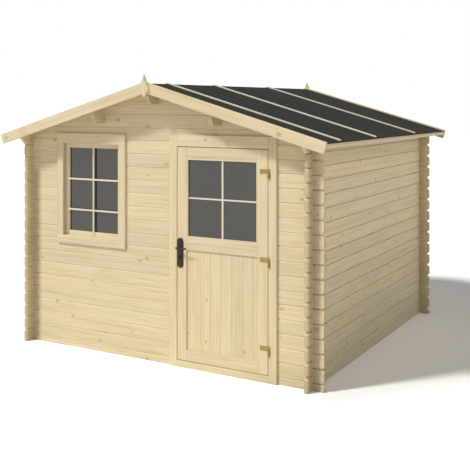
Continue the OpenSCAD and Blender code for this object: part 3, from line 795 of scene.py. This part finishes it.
def make_window():
    frame_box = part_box("window_frame_sides")
    head_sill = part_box("window_head_and_sill")
    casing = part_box("window_casing_sides")
    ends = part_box("window_casing_ends")
    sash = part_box("window_sash_stiles")
    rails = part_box("window_sash_rails")
    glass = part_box("window_glass")

    lining, ends_of_lining = Timber("window_reveals"), Timber("window_head_and_sill")
    uprights(lining, frame_box, head_sill)
    levels(ends_of_lining, head_sill, (head_sill[0].z, sash[0].z), (sash[1].z, head_sill[1].z))
    # The lining's sides take pine with painted shade, and its head and sill the lighter pine, painted light.
    lining.build("shed", "window_frame_sides", material=PAINTED_SHADE_LINING_PINE)
    ends_of_lining.build("shed", "window_head_and_sill", material=CLEAR_PINE_PAINTED_LIGHTER)

    boards = Timber("window_casing")
    uprights(boards, casing, head_sill)
    levels(boards, ends, (ends[0].z, casing[0].z), (casing[1].z, ends[1].z))
    boards.build("shed", "window_casing_sides", "window_casing_ends", material=BOARD_PINE, bevel=0.002)

    stiles = Timber("window_sash")
    uprights(stiles, sash, rails)
    levels(stiles, rails, (sash[0].z, glass[0].z), (glass[1].z, sash[1].z))
    stiles.build("shed", "window_sash_stiles", "window_sash_rails", material=CLEAR_PINE_PAINTED_LIGHTER)

    make_pane("window", "shed", glass)
    beads = Timber("window_beads")
    setback = 0.004
    make_beads(beads, glass, sash[1].y - setback, glass[1].y, foot=0.012, head=0.008)
    beads.build("shed", bevel=0.0008)

    # The bars lie on the sash, and the upright one has a deeper core between the panes.
    bar_w, bar_h, bar_t = 0.0125, 0.015, 0.0065
    stop, core = 0.012, 0.006
    lap_left, lap_right = 0.025, 0.010  # of the level bars over the stiles
    heights = (0.231, 0.503)  # of the level bars above the foot of the sash
    middle_x = (glass[0].x + glass[1].x) / 2 + 0.005
    left, right = middle_x - bar_w / 2, middle_x + bar_w / 2
    bars = Timber("window_bars")
    front, back = sash[0].y - bar_t, sash[0].y - 0.0002
    bars.board((left, front + 0.0005, rails[0].z + stop), (right, back, rails[1].z - stop), "z")
    bars.board((left, back, glass[0].z), (right, back + core, glass[1].z), "z")
    for z in [sash[0].z + height for height in heights]:
        bars.board((glass[0].x - lap_left, front, z - bar_h / 2),
                   (glass[1].x + lap_right, back, z + bar_h / 2), "x")
    bars.build("shed", material=PALE_PINE)


def make_pane(name, body, glass):
    pane = Timber(name + "_pane")
    pane.board(*glass, "x")
    pane.build(body, name + "_glass", slot=name + "_glass", material=GLASS, bevel=0)


def make_beads(timber, glass, face, pane, foot, head):
    """Adds a ring of glazing beads between a face of the frame and the pane.

    foot and head are the widths of a bead's sides at the pane and at the face.
    """
    lo, hi = glass
    into = 0.004  # the frame
    for x0, way in ((lo.x, 1), (hi.x, -1)):
        ring = [(x0 - way * into, face), (x0 + way * head, face),
                (x0 + way * foot, pane), (x0 - way * into, pane)]
        timber.prism(ring, "z", (lo.z - into, hi.z + into), (0, 1, 0))
    sunk = face + 0.0004 * (1 if pane > face else -1)
    for z0, way in ((lo.z, 1), (hi.z, -1)):
        ring = [(sunk, z0 - way * into), (sunk, z0 + way * head),
                (pane, z0 + way * foot), (pane, z0 - way * into)]
        timber.prism(ring, "x", (lo.x - into, hi.x + into), (0, 0, 1))


# ------------------------ door


def make_door():
    stiles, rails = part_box("door_stiles"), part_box("door_rails")
    panel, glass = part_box("door_panel"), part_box("door_glass")
    leaf = Timber("door_frame_leaf")
    uprights(leaf, stiles, rails)
    levels(leaf, rails, (rails[0].z, panel[0].z), (panel[1].z, glass[0].z), (glass[1].z, rails[1].z))
    leaf.build("door", "door_stiles", "door_rails", material=BOARD_PINE, bevel=0.002)

    boards = Timber("door_boards")
    lo, hi = panel
    first, width = 0.031, 0.096
    groove = 0.002
    joints = [lo.x] + [lo.x + first + i * width for i in range(7)] + [hi.x]
    for x0, x1 in zip(joints, joints[1:]):
        ring = [(x0 + groove, lo.y), (x1 - groove, lo.y), (x1, lo.y + groove), (x1, hi.y - groove),
                (x1 - groove, hi.y), (x0 + groove, hi.y), (x0, hi.y - groove), (x0, lo.y + groove)]
        boards.prism(ring, "z", (lo.z, hi.z), (1, 0, 0))
    boards.build("door", "door_panel", bevel=0)

    make_pane("door", "door", glass)
    beads = Timber("door_beads")
    setback = 0.001
    for face, pane in ((stiles[0].y + setback, glass[0].y), (stiles[1].y - setback, glass[1].y)):
        make_beads(beads, glass, face, pane, foot=0.014, head=0.0125)
    beads.build("door", bevel=0.0006)

    bar_w, bar_h, bar_t = 0.016, 0.013, 0.006
    stop = 0.006  # from the edge of the glass to the end of a bar
    middle_x, middle_z = (glass[0].x + glass[1].x) / 2 + 0.006, (glass[0].z + glass[1].z) / 2
    left, right = middle_x - bar_w / 2, middle_x + bar_w / 2
    bars = Timber("door_bars")
    for pane, way in ((glass[0].y, -1), (glass[1].y, 1)):
        y0, y1 = sorted((pane + way * 0.0002, pane + way * bar_t))
        bars.board((left, y0, glass[0].z + stop), (right, y1, glass[1].z - stop), "z")
        y0, y1 = sorted((pane + way * 0.0002, pane + way * (bar_t - 0.0005)))
        for x0, x1 in ((glass[0].x + stop, left), (right, glass[1].x - stop)):
            bars.board((x0, y0, middle_z - bar_h / 2), (x1, y1, middle_z + bar_h / 2), "x")
    bars.build("door", material=PALE_PINE)


# ------------------------ metalwork


def skin(mesh, rings):
    """Closes rings of a bmesh's points, all of one count, into a solid."""
    n = len(rings[0])
    for a, b in zip(rings, rings[1:]):
        for i in range(n):
            j = (i + 1) % n
            mesh.faces.new((a[i], a[j], b[j], b[i]))
    mesh.faces.new(rings[0][::-1])
    mesh.faces.new(rings[-1])


def oval(mesh, centre, across, up, count):
    """Adds points round a centre to a bmesh; across and up reach from it to the oval's side and top."""
    angles = [2 * math.pi * i / count for i in range(count)]
    return [mesh.verts.new(centre + across * math.cos(a) + up * math.sin(a)) for a in angles]


def turned(mesh, profile, base, axis, turns=24):
    """Adds a closed turned solid to a bmesh: profile is (radius, height) from its foot to its head."""
    axis = Vector(axis).normalized()
    side = axis.orthogonal().normalized()
    other = axis.cross(side)
    skin(mesh, [oval(mesh, Vector(base) + axis * height, side * radius, other * radius, turns)
                for radius, height in profile])


def swept(mesh, path, radii, turns=16):
    """Adds a closed rod to a bmesh along a path; radii are (across, up) pairs at its points."""
    rings = []
    for i, (wide, tall) in enumerate(radii):
        ahead = (path[min(i + 1, len(path) - 1)] - path[max(i - 1, 0)]).normalized()
        across = ahead.cross(Vector((0, 0, 1))).normalized()
        rings.append(oval(mesh, path[i], across * wide, across.cross(ahead) * tall, turns))
    skin(mesh, rings)


def block(mesh, lo, hi):
    """Adds a plain block to a bmesh."""
    made = bmesh.ops.create_cube(mesh, size=1.0)["verts"]
    size, middle = Vector(hi) - Vector(lo), (Vector(hi) + Vector(lo)) / 2
    for v in made:
        v.co = Vector((v.co.x * size.x, v.co.y * size.y, v.co.z * size.z)) + middle


def metal_piece(mesh, name, material, body, replaced=(), bevel=0.0):
    """Turns a bmesh into a smooth piece of metal."""
    bmesh.ops.recalc_face_normals(mesh, faces=mesh.faces)
    data = bpy.data.meshes.new(name)
    mesh.to_mesh(data)
    mesh.free()
    piece = bpy.data.objects.new(name, data)
    dress(piece, material, body, replaced)
    if bevel:
        soften(piece, bevel, 40)
    data.polygons.foreach_set("use_smooth", [True] * len(data.polygons))
    edges = piece.modifiers.new("crease", "EDGE_SPLIT")
    edges.split_angle = math.radians(38)


def screw_head(mesh, centre, outward, radius):
    """Adds a raised countersunk screw head to a bmesh."""
    profile = [(radius, -0.0006), (radius, 0.0002), (radius * 0.8, 0.0008),
               (radius * 0.35, 0.0010), (radius * 0.3, 0.0003)]
    turned(mesh, profile, centre, outward, 16)


def make_hinges():
    posts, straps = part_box("hinge_posts"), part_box("hinge_straps")
    r = (posts[1].x - posts[0].x) / 2
    axis_x = (posts[0].x + posts[1].x) / 2
    axis_y = posts[0].y + r
    height = 0.036  # of a knuckle
    gap = 0.0005
    leaf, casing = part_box("door_stiles"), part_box("door_casing_ends")
    casing_y = casing[0].y
    plate_t = 0.003
    lap = 0.001  # of two blocks of one plate
    from_end, from_foot = 0.188, 0.872  # of the leaf to the outer hinges and to the middle one
    screw_pitch = 0.020
    foot = [(r * 0.55, -0.003), (r * 0.85, -0.0015), (r, 0.0), (r, height - gap)]
    head = [(r, 0.0), (r, height - gap), (r * 0.85, height + 0.001), (r * 0.55, height + 0.0025)]

    fixed, moving, screws = bmesh.new(), bmesh.new(), bmesh.new()
    for z in (leaf[0].z + from_end, leaf[0].z + from_foot, leaf[1].z - from_end):
        bottom, under, over, top = z - height, z - gap, z + gap, z + height
        turned(fixed, foot, (axis_x, axis_y, bottom), (0, 0, 1), 32)
        turned(moving, head, (axis_x, axis_y, over), (0, 0, 1), 32)
        block(fixed, (casing[1].x, casing_y - plate_t, bottom), (posts[1].x + 0.006, casing_y, under))
        block(fixed, (axis_x - 0.003, axis_y, bottom), (axis_x + 0.003, casing_y - lap, under))
        block(moving, (straps[0].x, leaf[0].y - plate_t, over), (leaf[1].x + lap, leaf[0].y, top))
        block(moving, (leaf[1].x - lap, axis_y, over), (axis_x, leaf[0].y - lap, top))
        for i, share in enumerate((0.7, 0.3, 0.7)):
            centre = (straps[0].x + screw_pitch * (i + 0.5), leaf[0].y - plate_t, z + height * share)
            screw_head(screws, centre, (0, -1, 0), 0.0036)
    metal_piece(fixed, "hinge_pins", BRASS, "shed", ("hinge_posts",), bevel=0.0006)
    metal_piece(moving, "hinge_leaves", BRASS, "door", ("hinge_straps",), bevel=0.0006)
    metal_piece(screws, "hinge_screws", BRASS, "door")


def stadium(radius, straight, count=16):
    """Outline of a plate with round ends, as (x, z) about its middle."""
    points = []
    for sign in (1, -1):
        for i in range(count + 1):
            angle = math.pi * i / count
            points.append((sign * radius * math.cos(angle), sign * (straight + radius * math.sin(angle))))
    return points


def make_handle():
    plates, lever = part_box("handle_plates"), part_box("door_lever")
    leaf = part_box("door_stiles")
    spindle_x = (plates[0].x + plates[1].x) / 2
    spindle_z = (lever[0].z + lever[1].z) / 2
    middle_z = (plates[0].z + plates[1].z) / 2
    outer_w = plates[1].x - plates[0].x
    height = plates[1].z - plates[0].z
    inner_w = 0.036

    rise = leaf[0].y - plates[0].y
    rounding = ((1.0, 0.0), (1.0, 0.45), (0.93, 0.8), (0.80, 1.0))  # shares of the width and of the rise
    key_z = spindle_z - 0.076
    key_rim = [(0.0100, 0.0), (0.0100, 0.0014), (0.0088, 0.0022), (0.0070, 0.0022), (0.0066, 0.0008)]
    key_r, slot_half, proud = 0.0078, 0.0036, 0.0024
    slot_foot, slot_top = key_z - 0.0150, key_z - 0.002
    collar = [(0.0125, 0.0), (0.0125, 0.0003), (0.0105, 0.00045)]

    mesh, painted_keyhole_shade, screws = bmesh.new(), bmesh.new(), bmesh.new()
    for face, out, width in ((leaf[0].y, -1, outer_w), (leaf[1].y, 1, inner_w)):
        rings = []
        for scale, up in rounding:
            outline = stadium(width / 2 * scale, height / 2 - width / 2)
            rings.append([mesh.verts.new((spindle_x + x, face + out * rise * up, middle_z + z))
                          for x, z in outline])
        skin(mesh, rings)
        top = face + out * rise
        turned(mesh, key_rim, (spindle_x, top, key_z), (0, out, 0), 24)
        # Dark discs and slots stand proud on the plates for the keyholes: painted shade for the holes.
        turned(painted_keyhole_shade, [(key_r, 0.0), (key_r, proud)], (spindle_x, top, key_z), (0, out, 0), 20)
        y0, y1 = sorted((top, top + out * proud))
        block(painted_keyhole_shade, (spindle_x - slot_half, y0, slot_foot), (spindle_x + slot_half, y1, slot_top))
        turned(mesh, collar, (spindle_x, top, spindle_z), (0, out, 0), 32)
        for z in (plates[1].z - width * 0.42, plates[0].z + width * 0.42):
            screw_head(screws, (spindle_x, top, z), (0, out, 0), 0.0042)
    metal_piece(mesh, "lock_plates", IRON, "door", ("handle_plates",))
    metal_piece(painted_keyhole_shade, "key_holes", KEYHOLE_PAINTED_SHADE, "door")
    metal_piece(screws, "lock_screws", IRON, "door")

    grip = bmesh.new()
    tip = lever[1].x - spindle_x
    back = spindle_x - lever[0].x
    across, r = 0.0068, 0.008  # half the thickness of the grip, and half its height
    neck = [(0.0100, 0.0085), (0.0092, 0.011), (0.0080, 0.018),
            (0.0078, 0.034), (0.0086, 0.046), (0.0086, 0.050)]
    for face, out, grip_y in ((leaf[0].y, -1, lever[0].y + r), (leaf[1].y, 1, lever[1].y - r)):
        turned(grip, neck, (spindle_x, face, spindle_z), (0, out, 0), 24)
        count = 22
        path, radii = [], []
        for i in range(count + 1):
            x = -back + (tip + back) * (i / count)
            share = max(0.0, x / tip)
            bow = 0.004 * math.sin(math.pi * min(1.0, share)) if x > 0 else 0.0
            path.append(Vector((spindle_x + x, grip_y + out * -bow, spindle_z)))
            edge = min(x + back, tip - x)
            round_off = math.sqrt(max(0.03, 1 - max(0.0, 1 - edge / r) ** 2))
            radii.append((across * round_off * (1.0 - 0.22 * share), r * round_off * (1.0 - 0.12 * share)))
        swept(grip, path, radii)
    past = 0.010  # how far the spindle runs beyond the leaf
    turned(grip, [(0.0044, 0.0), (0.0044, leaf[1].y - leaf[0].y + 2 * past)],
           (spindle_x, leaf[0].y - past, spindle_z), (0, 1, 0), 16)
    metal_piece(grip, "lever_handles", IRON, "lever", ("door_lever",))


# ------------------------ stage, light and camera


def make_stage():
    mesh = bmesh.new()
    reach = 60.0
    bmesh.ops.create_grid(mesh, x_segments=2, y_segments=2, size=reach)
    data = bpy.data.meshes.new("ground")
    mesh.to_mesh(data)
    mesh.free()
    ground = bpy.data.objects.new("ground", data)
    ground.location.z = -0.001
    s = Shader("ground")
    # The ground beside the shaded walls is painted darker for light that bounces, a painted shadow, so that
    # it throws less light back at them than the open ground does.
    place = s.node("ShaderNodeNewGeometry").outputs["Position"]
    x, y, z = s.split(place)
    past_end = s.times(s.math("MAXIMUM", s.add(s.math("ABSOLUTE", y), -1.05), 0.0), 2.2)
    away = s.node("ShaderNodeVectorMath", {0: s.join(x, past_end, z), 1: (SIDE_X + 0.6, 0.0, 0.0)},
                  operation="DISTANCE")
    colour = s.mix(s.step(away.outputs["Value"], 0.6, 1.8), (0.10, 0.097, 0.088), (0.92, 0.90, 0.86))
    plain = s.node("ShaderNodeBsdfDiffuse", {"Color": colour})
    # The ground seen by the camera is painted brighter outside the shed's shadow, a painted light, so that
    # the lit ground shows white.
    beyond = s.node("ShaderNodeVectorMath", {0: place, 1: (2.6, 1.0, 0.0)}, operation="DISTANCE")
    before = s.add(s.times(x, 0.78), s.add(s.times(y, -0.625), -2.1))  # the edge of the shadow
    painted_sunlit_ground = s.math("MAXIMUM", s.step(beyond.outputs["Value"], 2.4, 3.4), s.step(before, 0.03, 0.35))
    colour = s.mix(painted_sunlit_ground, (0.98, 0.97, 0.965), (1.24, 1.27, 1.35))
    pale = s.node("ShaderNodeBsdfDiffuse", {"Color": colour})
    mixed = s.node("ShaderNodeMixShader", {0: s.seen(), 1: plain.outputs[0], 2: pale.outputs[0]})
    s.node("ShaderNodeOutputMaterial", {"Surface": mixed.outputs[0]})
    data.materials.append(s.material)
    bpy.context.scene.collection.objects.link(ground)


def make_light():
    sun = bpy.data.objects.new("sun", bpy.data.lights.new("sun", "SUN"))
    sun.data.energy = 2.45
    sun.data.angle = math.radians(7.0)
    sun.data.color = (1.0, 0.985, 0.95)
    azimuth, elevation = math.radians(38.7), math.radians(49.0)
    towards = Vector((math.sin(azimuth) * math.cos(elevation), math.cos(azimuth) * math.cos(elevation),
                      -math.sin(elevation)))
    sun.rotation_euler = towards.to_track_quat("-Z", "Y").to_euler()
    bpy.context.scene.collection.objects.link(sun)

    world = bpy.data.worlds.new("sky")
    bpy.context.scene.world = world
    s = Shader("sky", world)
    # The sky is a little brighter low on the right of the shed.
    generated = s.node("ShaderNodeTexCoord").outputs["Generated"]
    towards = s.node("ShaderNodeVectorMath", {0: generated, 1: (1.0, 0.0, -0.9)}, operation="DOT_PRODUCT")
    strength = s.node("ShaderNodeMapRange", {"Value": towards.outputs["Value"], "From Min": -1.0,
                                             "To Min": 0.16, "To Max": 1.0})
    sky = s.node("ShaderNodeBackground", {"Color": (0.985, 0.975, 0.955, 1.0),
                                          "Strength": strength.outputs[0]})
    white = s.node("ShaderNodeBackground", {"Color": (1.0, 1.0, 1.0, 1.0)})
    mixed = s.node("ShaderNodeMixShader", {0: s.seen(), 1: sky.outputs[0], 2: white.outputs[0]})
    s.node("ShaderNodeOutputWorld", {0: mixed.outputs[0]})


def make_camera():
    camera = bpy.data.objects.new("camera", bpy.data.cameras.new("camera"))
    camera.location = (3.9493, -7.3095, 2.1643)
    camera.rotation_euler = (math.radians(90), 0, math.radians(30.483))
    camera.data.lens = 64.93
    camera.data.sensor_width = 36.0
    camera.data.shift_x = 0.0617
    camera.data.shift_y = -0.2799
    camera.data.clip_end = 200.0
    bpy.context.scene.collection.objects.link(camera)
    bpy.context.scene.camera = camera


# ------------------------ the whole shed

make_camera()
make_light()
make_stage()
make_front_wall()
make_back_wall()
make_side_wall("left", -1)
make_side_wall("right", 1)
make_eaves_logs()
make_floor()
make_purlins()
make_roof_boards()
make_felt()
make_felt_battens()
make_bargeboards()
make_eaves_battens()
make_finials()
make_door_frame()
make_door_casing()
make_window()
make_door()
make_hinges()
make_handle()

bpy.context.scene.view_settings.view_transform = "Standard"
